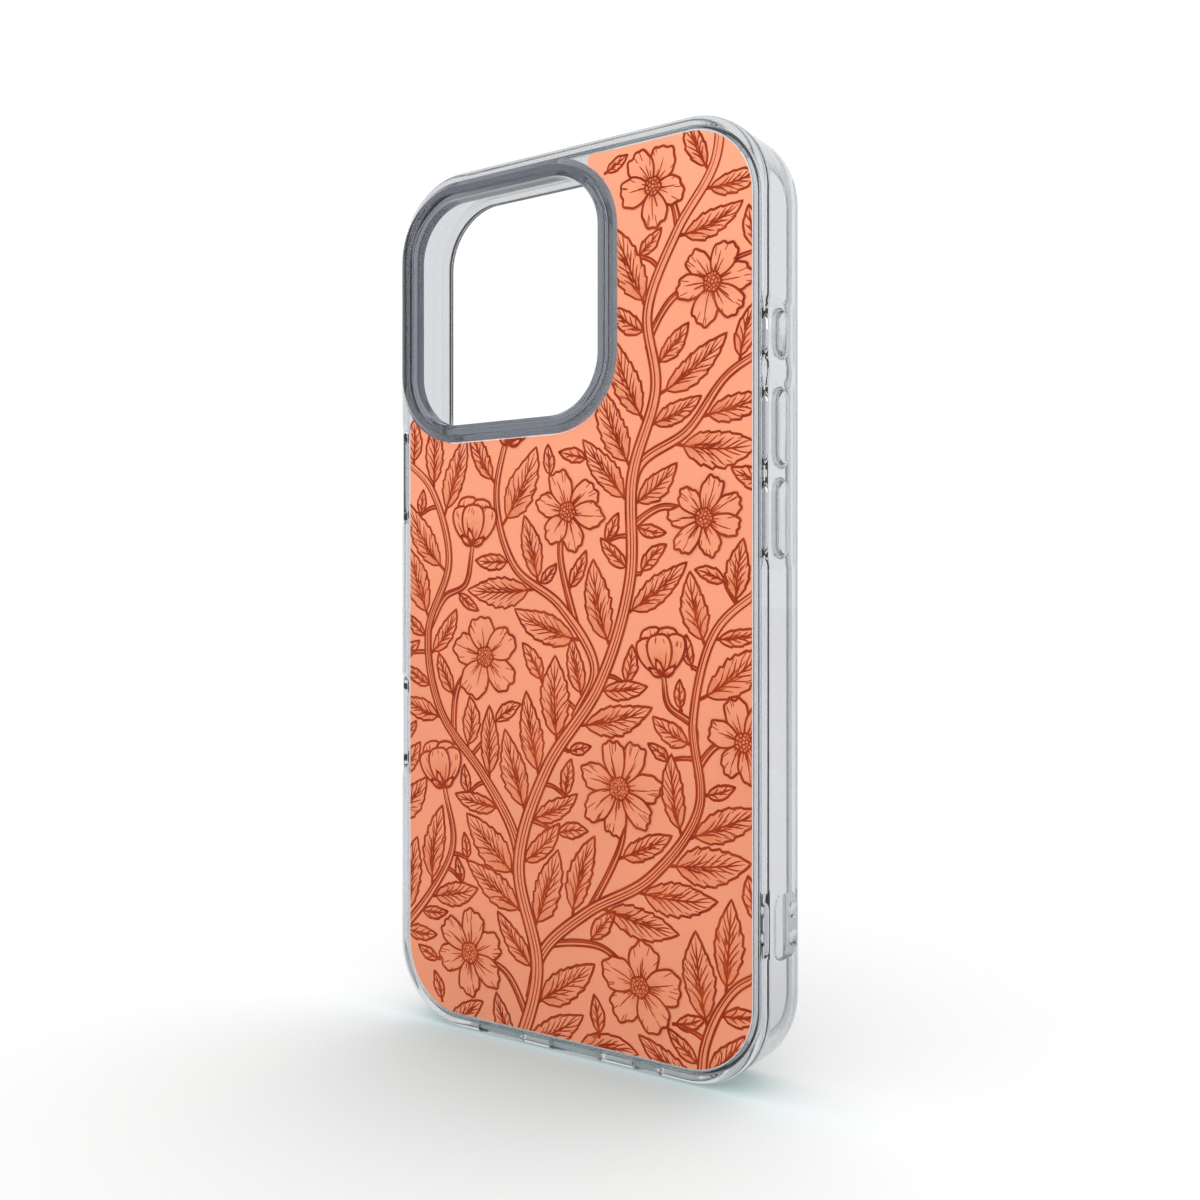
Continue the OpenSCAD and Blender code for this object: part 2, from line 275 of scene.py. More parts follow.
LIP_OVER = 1.1 * MM
LIP_THICK = 1.6 * MM
EDGE_RADIUS = 1.4 * MM
LIP_RADIUS = 0.7 * MM
RIM_RADIUS = 0.25 * MM
BAY_DEPTH = 0.3 * MM
SCOOP_DEPTH = 0.5 * MM
BAY_BLEND = 1.4 * MM
BAY_FADE_FROM, BAY_FADE_TO = 3.1 * MM, 4.2 * MM
SCOOP_PAST = 3.6 * MM
FLANGE_SPREAD = 0.6 * MM
KEY_GAP = 0.12 * MM
KEY_FLARE, KEY_FLARE_DEPTH = 0.12 * MM, 0.15 * MM
POCKET_DEPTH = 1.0 * MM
LEAST_STRAIGHT = 0.01 * MM
CUT_PAST = 1.0 * MM

back_y, front_y = bumper_low.y, bumper_high.y
lip_y = front_y - LIP_THICK
keys_y = (plate_high.y + lip_y) / 2
openings = {o["name"]: np.array(o["box_m"]) for o in frame["record"]["physics"]["openings"]}
key_nodes = {"action_button_pad": "action_key", "volume_up_pad": "volume_up_key",
             "volume_down_pad": "volume_down_key", "power_button_pad": "power_key"}


def soft_step(value, start, end):
    """Rises smoothly from 0 at start to 1 at end, as 3t^2 - 2t^3."""
    t = np.clip((value - start) / (end - start), 0, 1)
    return t * t * (3 - 2 * t)


def bay_depths(grid):
    """How far the outer face is let in at each point: full depth between a bay's ends, blended off at the
    ends and towards the screen, and nothing on the cavity side of the wall. The two volume keys share one
    bay, and the capture slot has a scoop of its own."""
    x, y, z = grid[..., 0], grid[..., 1], grid[..., 2]
    action, volume_up, volume_down, power = (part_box(node) for node in key_nodes)
    slot_low, slot_high = openings["capture_slot"][:, 2]
    bays = [(1, action[0].z, action[1].z, BAY_DEPTH), (1, volume_down[0].z, volume_up[1].z, BAY_DEPTH),
            (-1, slot_low - SCOOP_PAST, slot_high + SCOOP_PAST, SCOOP_DEPTH),
            (-1, power[0].z, power[1].z, BAY_DEPTH)]
    depth = np.zeros_like(x)
    for side, low_z, high_z, deep in bays:
        ends = soft_step(z, low_z - BAY_BLEND, low_z) * (1 - soft_step(z, high_z, high_z + BAY_BLEND))
        depth = np.maximum(depth, deep * ends * (np.sign(x) == side))
    outer = soft_step(abs(x - middle[0]) - cavity_size[0] / 2, 0.5 * WALL, 0.7 * WALL)
    towards_screen = 1 - soft_step(y, keys_y + BAY_FADE_FROM, keys_y + BAY_FADE_TO)
    return depth * outer * towards_screen


section = filleted(
    [(WALL, back_y), (WALL, front_y), (-LIP_OVER, front_y), (-LIP_OVER, lip_y), (0, lip_y), (0, plate_high.y),
     (TONGUE_REACH, plate_high.y), (TONGUE_REACH, plate_high.y - TONGUE_THICK),
     (-RIM_COVER, plate_high.y - TONGUE_THICK), (-RIM_COVER, back_y)],
    [EDGE_RADIUS, EDGE_RADIUS, LIP_RADIUS, RIM_RADIUS, 0.15 * MM] + [0.05 * MM] * 4 + [RIM_RADIUS],
    arc_step=math.radians(9))
outline, normals = rounded_outline(middle, cavity_size, CAVITY_RADIUS, step=0.55 * MM, arc_steps=36)
bumper_grid = carried_round(outline, normals, section)
bumper_grid[..., 0] -= np.sign(bumper_grid[..., 0]) * bay_depths(bumper_grid)


def plug(axis, centre, size, radius, stations, arc_steps=12):
    """A closed cutter or key: one rounded outline, lofted through stations (place along the axis, growth).
    Growth is added all round the outline, so the stations draw steps, flares and rounded ends. Where the ends
    are half round, the radius stays LEAST_STRAIGHT short of half the width."""
    rings = []
    for place, grow in stations:
        ring, _ = rounded_outline(np.array(centre), np.array(size) + 2 * grow, radius + grow,
                                  step=1, arc_steps=arc_steps)
        along = np.full(len(ring), place)
        columns = {"x": (along, ring[:, 0], ring[:, 1]), "y": (ring[:, 0], along, ring[:, 1]),
                   "z": (ring[:, 0], ring[:, 1], along)}[axis]
        rings.append(np.stack(columns, -1))
    grid = np.stack(rings)
    n = grid.shape[1]
    caps = [np.arange(n)[None], (np.arange(n)[::-1] + (len(rings) - 1) * n)[None]]
    return grid, [grid_faces(len(rings), n, False, True), *caps]


def cut(piece, cutters):
    """Cuts closed cutters out of a piece, applies the cut and removes the cutters."""
    tool = solid(piece.name + "_cutters", cutters)
    boolean = piece.modifiers.new("cut", "BOOLEAN")
    boolean.object, boolean.operation, boolean.solver = tool, "DIFFERENCE", "EXACT"
    evaluated = piece.evaluated_get(bpy.context.evaluated_depsgraph_get())
    mesh = bpy.data.meshes.new_from_object(evaluated)
    piece.modifiers.clear()
    old, piece.data = piece.data, mesh
    for spent in (old, tool.data):
        bpy.data.meshes.remove(spent)
    piece.data.shade_smooth()
    piece.data.set_sharp_from_angle(angle=SHARP_ANGLE)


half_cavity, half_case = cavity_size[0] / 2, cavity_size[0] / 2 + WALL
rooms = []
for node in key_nodes:
    low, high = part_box(node)
    side = np.sign(low.x)
    stem = np.array([high.y - low.y, high.z - low.z]) - 2 * FLANGE_SPREAD
    centre = [(low.y + high.y) / 2, (low.z + high.z) / 2]
    pocket, web = half_cavity + POCKET_DEPTH, half_case - BAY_DEPTH
    rooms.append(plug("x", centre, stem, stem[0] / 2 - LEAST_STRAIGHT, [
        (side * (half_cavity - CUT_PAST), FLANGE_SPREAD + KEY_GAP), (side * pocket, FLANGE_SPREAD + KEY_GAP),
        (side * pocket, KEY_GAP), (side * (web - KEY_FLARE_DEPTH), KEY_GAP),
        (side * web, KEY_GAP + KEY_FLARE), (side * (half_case + CUT_PAST), KEY_GAP + KEY_FLARE)]))

CAPTURE_SIZE = (5.6 * MM, 14.8 * MM)
PORT_SIZE = (11.0 * MM, 6.1 * MM)
SPEAKER_SIZE = (10.2 * MM, 3.4 * MM)
MIC_SIZE = (5.6 * MM, 3.4 * MM)
SPEAKER_X, MIC_X = -16.4 * MM, 14.3 * MM
GROOVE_SIZE = (7.1 * MM, 10.3 * MM)
PORT_RADIUS, SOUND_RADIUS, GROOVE_RADIUS = 2.4 * MM, 1.69 * MM, 2.0 * MM
GROOVE_FROM_FRONT = 0.9 * MM
GROOVE_DEPTH = 1.0 * MM
FLARE = 0.3 * MM
STRAP_FLARE, STRAP_FLARE_DEPTH = 0.2 * MM, 0.25 * MM
HOLE_OVERLAP = 0.3 * MM
slot_middle = openings["capture_slot"][:, 1:].mean(0)
rooms.append(plug("x", slot_middle, CAPTURE_SIZE, CAPTURE_SIZE[0] / 2 - LEAST_STRAIGHT, [
    (-half_cavity + CUT_PAST, 0), (-half_case + SCOOP_DEPTH + FLARE, 0), (-half_case + SCOOP_DEPTH, FLARE),
    (-half_case - CUT_PAST, FLARE)]))
base_z = bumper_low.z
for x, size, radius in ((0, PORT_SIZE, PORT_RADIUS), (SPEAKER_X, SPEAKER_SIZE, SOUND_RADIUS),
                        (MIC_X, MIC_SIZE, SOUND_RADIUS)):
    rooms.append(plug("z", (x, keys_y), size, radius, [
        (base_z + WALL + CUT_PAST, 0), (base_z + FLARE, 0), (base_z, FLARE), (base_z - CUT_PAST, FLARE)]))
strap = {m["name"]: m for m in frame["record"]["mounts"] if m["kind"] == "bore"}
strap_z = np.mean([m["pos_m"][2] for m in strap.values()])
rooms.append(plug("x", (front_y - GROOVE_FROM_FRONT - GROOVE_SIZE[0] / 2, strap_z), GROOVE_SIZE,
                  GROOVE_RADIUS, [(half_cavity - CUT_PAST, 0), (half_cavity + GROOVE_DEPTH, 0)]))
holes = []
for mount in strap.values():
    radius = mount["dims"]["r_mm"] * MM
    holes.append(plug("x", mount["pos_m"][1:], (2 * radius, 2 * radius), radius - LEAST_STRAIGHT / 10, [
        (half_cavity + GROOVE_DEPTH - HOLE_OVERLAP, 0), (half_case - STRAP_FLARE_DEPTH, 0),
        (half_case, STRAP_FLARE), (half_case + CUT_PAST, STRAP_FLARE)]))

# The guard's foot lies in a seat in the back rim.
seat_grow = GUARD_WIDTH + MOULD_GAP
seat = plug("y", window_middle, window_size + 2 * seat_grow, WINDOW_RADIUS + seat_grow,
            [(back_y - CUT_PAST, 0), (plate_low.y + MOULD_GAP, 0)], arc_steps=48)

bumper_clear = clear_plastic("Clear flexible plastic", (0.62, 0.635, 0.655), 0.02, 0.05, 45)
bumper = finish_piece(solid("bumper_frame", [ring_part(bumper_grid)]),
                      bumper_clear, "case", "clear_bumper", "bumper")
cut(bumper, rooms + [seat])
cut(bumper, holes)

# --------------------------------------------------------------
# Print
# Two layers of ink on the plate's outside: white, then the colours. The peach ground is
# one tint, warmer and lighter at the top and deeper towards the bottom, faintly uneven.
# --------------------------------------------------------------

nodes = frame["nodes"]
white, tree, shader, add = node_material("White ink", Base_Color=(0.86, 0.86, 0.84, 1), Roughness=0.6)
grain = add("ShaderNodeTexNoise", in_Scale=900, in_Detail=2.0)
bump = add("ShaderNodeBump", [("Height", grain.outputs["Fac"])], in_Strength=0.1, in_Distance=0.0001)
tree.links.new(bump.outputs["Normal"], shader.inputs["Normal"])
nodes["print_underbase"].data.materials.clear()
nodes["print_underbase"].data.materials.append(white)


def two_tones(ramp, low, high, start=0.0, end=1.0):
    """Sets a ramp's two stops: the low colour at start and the high colour at end."""
    for stop, colour, place in zip(ramp.color_ramp.elements, (low, high), (start, end)):
        stop.color, stop.position = (*colour, 1), place


def ground_colour(add):
    """The ground's tint, lighter at the top of the panel and darker towards the bottom, with the press's
    faint unevenness.
    """
    place = add("ShaderNodeTexCoord")
    height = add("ShaderNodeSeparateXYZ", [("Vector", place.outputs["Object"])])
    rise = add("ShaderNodeMapRange", [("Value", height.outputs["Z"])], in_From_Min=0.045, in_From_Max=0.154)
    ramp = add("ShaderNodeValToRGB", [("Fac", rise.outputs["Result"])])
    two_tones(ramp, (0.78, 0.286, 0.164), (0.96, 0.376, 0.22))
    cloud = add("ShaderNodeTexNoise", [("Vector", place.outputs["Object"])], in_Scale=35, in_Detail=3.0)
    lift = add("ShaderNodeMapRange", [("Value", cloud.outputs["Fac"])],
               in_From_Min=0.3, in_From_Max=0.7, in_To_Min=0.96, in_To_Max=1.04)
    return add("ShaderNodeVectorMath", [("Vector", ramp.outputs["Color"]), ("Scale", lift.outputs["Result"])],
               operation="SCALE"), place


ground, tree, shader, add = node_material("Peach ground ink", Roughness=0.45, Specular_IOR_Level=0.12)
tint, place = ground_colour(add)
tree.links.new(tint.outputs["Vector"], shader.inputs["Base Color"])
nodes["print_colour_layer"].data.materials.clear()
nodes["print_colour_layer"].data.materials.append(ground)

# --------------------------------------------------------------
# Printed pattern
# A climbing vine in rust-brown pen lines over darker washes, printed on the peach ground.
# It is drawn in millimetres on the panel; each motif's wash hides the motifs under it.
# --------------------------------------------------------------

PRINT_RADIUS = 11.65
GUARD_BORDER = 0.1
TIP_RADIUS = 1.0
CELL = 0.25
GRID_ROWS, GRID_COLUMNS = 648, 320
PATTERN_SEED = 11
PEN = 1.22
# Pen widths in millimetres, before PEN scales them
OUTLINE, STEM_EDGE, RIB, VEIN, CREASE, HATCH, TICK = 0.36, 0.34, 0.28, 0.19, 0.17, 0.14, 0.13
LEAF_MARGIN = 0.7
TINY = 1e-9
# The rise, fall and stalk of each kind of blade
LEAF_FORM, SEPAL_FORM, PETAL_FORM = (0.72, 1.0, 0.16), (0.72, 1.0, 0), (0.62, 0.36, 0)
# Levels, from the lowest up
SPRIG_LEAF, STEM_LEAF, SPRIG, BRANCH, MAIN_STEM, BLOSSOM = range(6)

panel_middle = np.array([ink_low.x + ink_high.x, ink_low.z + ink_high.z]) / 2 / MM
panel_half = np.array([ink_high.x - ink_low.x, ink_high.z - ink_low.z]) / 2 / MM
cutout_half = (window_size / 2 + GUARD_WIDTH) / MM + GUARD_BORDER
cutout_radius = (WINDOW_RADIUS + GUARD_WIDTH) / MM + GUARD_BORDER
draw = np.random.default_rng(PATTERN_SEED)
strokes, washes = [], []
taken = np.zeros((GRID_ROWS, GRID_COLUMNS), bool)
taken_low = np.array([-40.0, -4.0])


def inside_rounded(points, centre, half, radius):
    """Distance inside a rounded rectangle's edge, negative outside: the radius less the distance from its
    core box."""
    q = abs(points - centre) - (half - radius)
    return radius - np.linalg.norm(np.maximum(q, 0), axis=-1) - np.minimum(q.max(-1), 0)


def cross(a, b):
    """The cross product of two plane vectors: positive where b is to the left of a."""
    return a[..., 0] * b[..., 1] - a[..., 1] * b[..., 0]


# Two sharp tips of the print, above and beside the guard, are rounded off by a circle that touches the
# panel's edge and the cut-out: its centre lies TIP_RADIUS inside the one and outside the other.
corner = (cutout_half - cutout_radius) * [1, 1]
tips = []
for sign, across in ((1, 1), (-1, 0)):
    guard_corner = window_middle / MM + sign * corner
    tip = guard_corner.copy()
    tip[across] = panel_middle[across] + sign * (panel_half[across] - TIP_RADIUS)
    off = tip[across] - guard_corner[across]
    tip[1 - across] += sign * math.sqrt((cutout_radius + TIP_RADIUS) ** 2 - off ** 2)
    tips.append((tip, guard_corner, across, sign))


def printed(points):
    """Distance inside the printed area: inside the panel's edge, outside the cut-out round the guard, and in
    each tip inside its circle."""
    inside = np.minimum(inside_rounded(points, panel_middle, panel_half, PRINT_RADIUS),
                        -inside_rounded(points, window_middle / MM, cutout_half, cutout_radius))
    for tip, guard_corner, across, sign in tips:
        ray = points - tip
        beyond = (cross(np.eye(2)[across], ray) > 0) & (sign * cross(ray, guard_corner - tip) > 0)
        beyond &= sign * (points - guard_corner)[..., 1 - across] > 0
        inside = np.where(beyond, np.minimum(inside, TIP_RADIUS - np.linalg.norm(ray, axis=-1)), inside)
    return inside


def cells(points):
    """Row and column of the grid cell under each point."""
    column, row = np.moveaxis(np.round((points - taken_low) / CELL).astype(int), -1, 0)
    return np.clip(row, 0, taken.shape[0] - 1), np.clip(column, 0, taken.shape[1] - 1)


def block(points, margin):
    """Marks every cell within a margin of the points as taken."""
    n = math.ceil(margin / CELL)
    disc = np.stack(np.meshgrid(*[np.arange(-n, n + 1) * CELL] * 2), -1).reshape(-1, 2)
    disc = disc[np.linalg.norm(disc, axis=1) <= margin]
    taken[cells(points.reshape(-1, 1, 2) + disc)] = True


def line(points, width, level, start=0.9, end=0.2):
    """One pen stroke: its width swells from its ends over a fifth of its run, with a hand's unevenness."""
    q = np.linspace(0, 1, len(points))
    swell = np.minimum(1, start + (1 - start) * q / 0.2) * np.minimum(1, end + (1 - end) * (1 - q) / 0.2)
    wobble = 1 + 0.1 * np.interp(q, np.linspace(0, 1, 7), draw.uniform(-1, 1, 7))
    strokes.append((points, PEN * width * swell * wobble, level))


def curve(points, spacing=0.7):
    """A Catmull-Rom curve through the points, taken at even spacing along its length."""
    p = np.array(points, float)
    p = np.vstack([2 * p[0] - p[1], p, 2 * p[-1] - p[-2]])
    t = np.linspace(0, 1, 24, endpoint=False)[:, None]
    run = [0.5 * (2 * b + (c - a) * t + (2 * a - 5 * b + 4 * c - d) * t ** 2
                  + (3 * b - a - 3 * c + d) * t ** 3) for a, b, c, d in zip(p, p[1:], p[2:], p[3:])]
    run = np.vstack(run + [p[-2:-1]])
    s = np.concatenate([[0], np.cumsum(np.linalg.norm(np.diff(run, axis=0), axis=1))])
    q = np.linspace(0, s[-1], max(4, math.ceil(s[-1] / spacing)))
    return np.stack([np.interp(q, s, run[:, k]) for k in (0, 1)], -1)


def sideways(path):
    """Unit normals of a path: its slope turned a quarter left."""
    slope = np.gradient(path, axis=0)
    slope /= np.maximum(np.linalg.norm(slope, axis=1), TINY)[:, None]
    return np.stack([-slope[:, 1], slope[:, 0]], -1)


def vine(points, start, end, level):
    """A stem: two outlines at half its tapering width, and finer lines between them. Returns its path."""
    path = curve(points)
    n = len(path)
    normal = sideways(path)
    half = np.linspace(start, end, n) / 2
    half *= 1 + 0.08 * np.interp(np.arange(n), np.linspace(0, n, 9), draw.uniform(-1, 1, 9))
    across = np.array([-1, 0, 1])
    spread = path[:, None] + normal[:, None] * (half[:, None] * across)[..., None]
    washes.append((spread, 0.3 + 0.15 * (across > 0), level))
    for side in (-1, 1):
        line(path + normal * (side * half)[:, None], STEM_EDGE, level, 1, 0.5)
    if start > 0.9:
        line(path + normal * (0.22 * half)[:, None], 0.2, level, 1, 0.3)
    if start > 1.7:
        line((path - normal * (0.34 * half)[:, None])[:max(8, int(n * 0.7))], CREASE, level, 1, 0.3)
    block(path, half.max() + 0.55)
    return path


def turning(base, heading, length, bend, t):
    """Points and normals of a line whose heading turns evenly: base + length * the integral of (cos, sin) of
    heading + bend * (t - 0.35), in closed form."""
    bend = np.where(abs(bend) < 1e-3, 1e-3, bend)
    a, a0 = heading + bend * (t - 0.35), heading - 0.35 * bend
    run = np.stack([np.sin(a) - np.sin(a0), np.cos(a0) - np.cos(a)], -1) * (length / bend)[..., None]
    return base + run, np.stack([-np.sin(a), np.cos(a)], -1)


def blade_half(t, length, width, rise, fall, stalk):
    """Half width of a blade, and b, which runs from 0 at the end of the stalk to 1 at the tip: the half width
    is width * length * b^rise * (1 - b)^fall over its peak, and a thin stalk before it."""
    b = np.clip((t - stalk) / (1 - stalk), 0, 1)
    peak = (rise / (rise + fall)) ** rise * (fall / (rise + fall)) ** fall
    return length * width * b ** rise * (1 - b) ** fall / peak + 0.15 * (1 - b) * (stalk > 0), b


def blade(base, heading, length, bend, width, level, teeth, form=LEAF_FORM):
    """A leaf, or with no stalk a bud's petal or sepal: an evenly turning middle line, and a half width with a
    saw edge. Its ribs and hatching are drawn by place along the blade and share of the half width."""
    t = np.linspace(0, 1, 41)
    centre, normal = turning(base, heading, np.float64(length), np.float64(bend), t)
    smooth, b = blade_half(t, length, width, *form)

    def at(tt, share):
        return np.stack([np.interp(tt, t, centre[:, k]) + np.interp(tt, t, normal[:, k] * smooth) * share
                         for k in (0, 1)], -1)

    edges = []
    for side in (-1, 1):
        saw = (teeth * b + draw.uniform(0, 1)) % 1
        bite = draw.uniform(0.1, 0.2) * saw ** 1.6 - 0.06
        bite += 0.06 * np.sin(b * draw.uniform(5, 9) + draw.uniform(0, 6))
        near_foot, near_tip = np.clip(b * 6, 0, 1), np.clip((1 - b) * 7, 0, 1)
        edges.append(side * smooth * (1 + bite * (teeth > 0) * near_foot * near_tip))
    low, high = (centre + normal * edge[:, None] for edge in edges)
    line(np.vstack([low, high[-2::-1]]), OUTLINE, level, 0.6, 0.6)
    across = np.array([-1, -0.5, 0, 0.5, 1])
    half = np.where(across < 0, -edges[0][::2, None], edges[1][::2, None])
    dark = draw.choice([-1, 1])
    bb = b[::2, None]
    tone = 0.2 + 0.4 * np.exp(-((across - 0.15 * dark) / 0.4) ** 2) * (1 - bb) ** 0.5 + 0.35 * (1 - bb) ** 3
    spread = centre[::2, None] + normal[::2, None] * (half * across)[..., None]
    washes.append((spread, tone * np.clip(1.3 - bb, 0, 1), level))

    q = np.linspace(0, 1, 5)
    if form is not LEAF_FORM:
        for share in np.linspace(-0.6, 0.6, max(3, int(length * width * 1.3))):
            share += draw.uniform(-0.08, 0.08)
            line(at(0.04 + draw.uniform(0.3, 0.66) * q, share * (0.75 + 0.25 * q)), CREASE, level)
        for _ in range(int(length * 0.5)):
            line(at(draw.uniform(0.7, 0.82) + 0.14 * q, draw.uniform(-0.7, 0.7)), TICK, level, 0.3, 0.6)
        return
    rib = np.linspace(0, 0.94, 14)
    line(at(rib, 0), RIB, level, 1)
    count = int(np.clip(length / 2.2, 2, 6))
    for i in range(count):
        for side in (-1, 1):
            foot = 0.23 + 0.55 * (i + 0.25 * (side > 0)) / count + draw.uniform(-0.012, 0.012)
            line(at(foot + 0.2 * q ** 0.9, side * draw.uniform(0.6, 0.9) * q ** 1.15), VEIN, level)
    for _ in range(int(length * 0.95)):
        side = dark * draw.choice([-1, 1], p=[0.22, 0.78])
        foot, share, long = draw.uniform(0.18, 0.62), draw.uniform(0.02, 0.2), draw.uniform(0.08, 0.18)
        line(at(foot + long * q, side * (share + 1.5 * long * q)), HATCH, level)
    for _ in range(int(length * 0.45)):
        line(at(draw.uniform(0.4, 0.85) - 0.07 * q, draw.choice([-1, 1]) * (0.96 - 0.3 * q)), TICK, level)


def petal(centre, squash, heading, radius, spread, level):
    """One petal of an open flower: its rim is radius * cos^0.36 of the angle across it, with a wavy, notched
    edge. The whole flower is squashed along one direction, as if it were seen from a little to the side."""
    across = np.linspace(-1, 1, 33)
    wave = 1 + 0.035 * np.cos(across * draw.uniform(6, 9) + draw.uniform(0, 6))
    wave += 0.025 * np.cos(across * 17 + draw.uniform(0, 6))
    rim = radius * draw.uniform(0.92, 1.06) * np.cos(across * math.pi / 2).clip(0) ** 0.36 * wave
    lean = draw.uniform(-0.15, 0.15)

    def at(out, share):
        r = np.interp(share, across, rim) * out
        a = heading + spread * share * (0.7 + 0.3 * out) + lean * out
        flat = np.stack([np.cos(a) * r, np.sin(a) * r], -1)
        axis = np.array([math.cos(squash[0]), math.sin(squash[0])])
        return centre + flat - axis * (flat @ axis)[..., None] * (1 - squash[1])

    share, out = np.meshgrid(np.linspace(-1, 1, 17), np.linspace(0.05, 1, 7), indexing="ij")
    washes.append((at(out, share), 0.08 + 0.8 * np.exp(-(out / 0.36) ** 2) + 0.22 * abs(share) ** 3, level))
    line(at(np.ones(33), across), OUTLINE, level, 0.8, 0.8)
    q = np.linspace(0, 1, 5)
    for _ in range(int(radius * 0.75)):
        line(at(0.24 + draw.uniform(0.12, 0.42) * q, draw.uniform(-0.8, 0.8) + 0 * q), HATCH, level)
    for _ in range(int(radius * 0.55)):
        line(at(0.96 - draw.uniform(0.1, 0.3) * q, draw.uniform(-0.7, 0.7) + 0 * q), TICK, level)
    line(at(0.2 + draw.uniform(0.5, 0.66) * q, draw.uniform(-0.25, 0.25) + 0.1 * q), CREASE, level)


def flower(centre, radius, petals, turn, squash):
    """An open flower: petals laid over each other in a mixed order, round a middle of small rings."""
    spots = np.stack(np.meshgrid(*[np.linspace(-radius, radius, 25)] * 2), -1).reshape(-1, 2)
    block(centre + spots[np.linalg.norm(spots, axis=1) < radius], LEAF_MARGIN)
    for i, k in enumerate(draw.permutation(petals)):
        heading = turn + 2 * math.pi * k / petals + draw.uniform(-0.06, 0.06)
        petal(centre, squash, heading, radius, math.pi / petals * 1.2, BLOSSOM + i)
    top = BLOSSOM + petals
    core = 0.23 * radius
    a = np.linspace(0, 2 * math.pi, 25)
    ring = np.stack([np.cos(a), np.sin(a)], -1) * (1 + 0.08 * np.cos(5 * a + turn))[:, None]
    spread = centre + ring[:, None] * core * np.array([0.02, 0.5, 1])[:, None]
    washes.append((spread, np.array([0.55, 0.75, 0.85]), top))
    line(centre + ring * core, 0.24, top, 1, 1)
    a = np.linspace(0, 2 * math.pi, 9)
    ring = np.stack([np.cos(a), np.sin(a)], -1)
    for far, count in ((0.0, 1), (0.42, 5), (0.8, 10)):
        for k in range(count):
            b = 2 * math.pi * (k + draw.uniform(-0.2, 0.2)) / count
            spot = centre + core * far * np.array([math.cos(b), math.sin(b)])
            line(spot + draw.uniform(0.28, 0.4) * ring, 0.15, top, 1, 1)


def bud(base, heading, length):
    """A half-open bud: two petals behind, two at the sides, one in front, and short sepals at its foot."""
    along = np.array([math.cos(heading), math.sin(heading)])
    block(base + along * length * np.linspace(0.1, 0.85, 9)[:, None], length * 0.42)
    petals = ((0.3, 0.98, 0.3), (-0.34, 0.94, 0.3), (0.72, 0.86, 0.27), (-0.76, 0.88, 0.27),
              (0.04, 0.8, 0.36))
    for i, (lean, reach, wide) in enumerate(petals):
        blade(base, heading + lean * 0.8, length * reach, lean * -0.7, wide, BLOSSOM + i, 0, PETAL_FORM)
    for lean in (-1.15, 1.1, 0.35):
        blade(base - along * 0.3, heading + lean, length * 0.36, -lean * 0.5, 0.2,
              BLOSSOM + len(petals), 0, SEPAL_FORM)


# The stems climb from the foot of the panel and off its sides; each branch leaves the stem it grows from.
# Each is its points, its width at the start and at the end, and its level.
STEMS = [
    ([(-12, -6), (-6, 13), (-10, 31), (-4, 48), (7, 63), (13, 80), (13.5, 97), (18, 111), (16.5, 124),
      (22, 136), (29, 146), (30, 158)], 2.5, 1.5, MAIN_STEM),
    ([(-9.6, 26), (-11, 36), (-18, 46), (-28, 57), (-31, 71), (-26, 84), (-30, 97), (-38, 104)],
     1.9, 1.0, BRANCH),
    ([(-7.5, 8), (-4.5, 17), (5, 25), (17, 32), (26, 44), (25, 58), (29, 72), (39, 80)], 1.9, 1.1, BRANCH),
    ([(2, 57), (6, 66), (-1, 76), (-11, 83), (-15, 95), (-12, 108)], 1.7, 0.9, BRANCH),
    ([(13, 90), (15, 99), (24, 104), (31, 112), (39, 116)], 1.6, 1.0, BRANCH),
    ([(-39, 14), (-30, 24), (-25, 33), (-27, 43)], 1.5, 0.8, BRANCH),
    ([(27, -6), (27, 6), (32, 16), (40, 21)], 1.7, 1.1, BRANCH),
    ([(-30.6, 72), (-27, 77.5), (-22, 80), (-20.5, 86.5)], 1.0, 0.7, SPRIG),
    ([(25.2, 53), (25, 57), (20.5, 60), (19.5, 64.5)], 1.0, 0.7, SPRIG)]
# Each flower's middle, radius, petals, turn, squash (its direction and share), and the place on a stem
# that its sprig leaves.
FLOWERS = [
    ((-21, 14), 8.0, 6, 0.3, (0.5, 0.92), (-9, 4)), ((11, 46), 8.2, 7, 0.1, (0.2, 0.95), (4, 25)),
    ((-17.5, 67), 7.8, 5, 0.5, (1.0, 0.95), (-24, 53)), ((15, 14), 7.6, 5, 0.2, (0, 1), (-3, 17)),
    ((0.5, 92), 7.2, 6, 0.8, (0.9, 0.9), (3, 72)), ((27, 90), 6.8, 7, 0.4, (1.8, 0.92), (13.2, 88)),
    ((28.5, 127), 6.9, 6, 0.1, (1.2, 0.95), (17, 119)), ((17.5, 144), 6.6, 5, 0.9, (0.3, 0.92), (22, 136)),
    ((34, 55), 6.6, 6, 0.9, (0.3, 0.92), (26, 50))]
# Each bud's foot, heading and length.
BUDS = [((-27.3, 43.5), 1.75, 8.5), ((-12, 104.5), 1.4, 8.0), ((-20.4, 87.2), 1.5, 8.6),
        ((19.4, 65.2), 1.7, 8.0)]

stems = [vine(*stem) for stem in STEMS]
for centre, radius, petals, turn, squash, root in FLOWERS:
    centre = np.array(centre, float)
    flower(centre, radius, petals, turn, squash)
    near = [np.linalg.norm(path - root, axis=1) for path in stems[:7]]
    path, far = min(zip(stems, near), key=lambda pair: pair[1].min())
    i = int(np.clip(far.argmin(), 1, len(path) - 2))
    along = (path[i + 1] - path[i - 1]) / np.linalg.norm(path[i + 1] - path[i - 1])
    reach = centre - path[i]
    rise = path[i] + reach * 0.45 + along * np.linalg.norm(reach) * 0.22
    stems.append(vine([path[i] - along * 2, path[i] + along * 0.5, rise, centre], 1.1, 0.8, SPRIG))
for base, heading, length in BUDS:
    bud(np.array(base), heading, length)


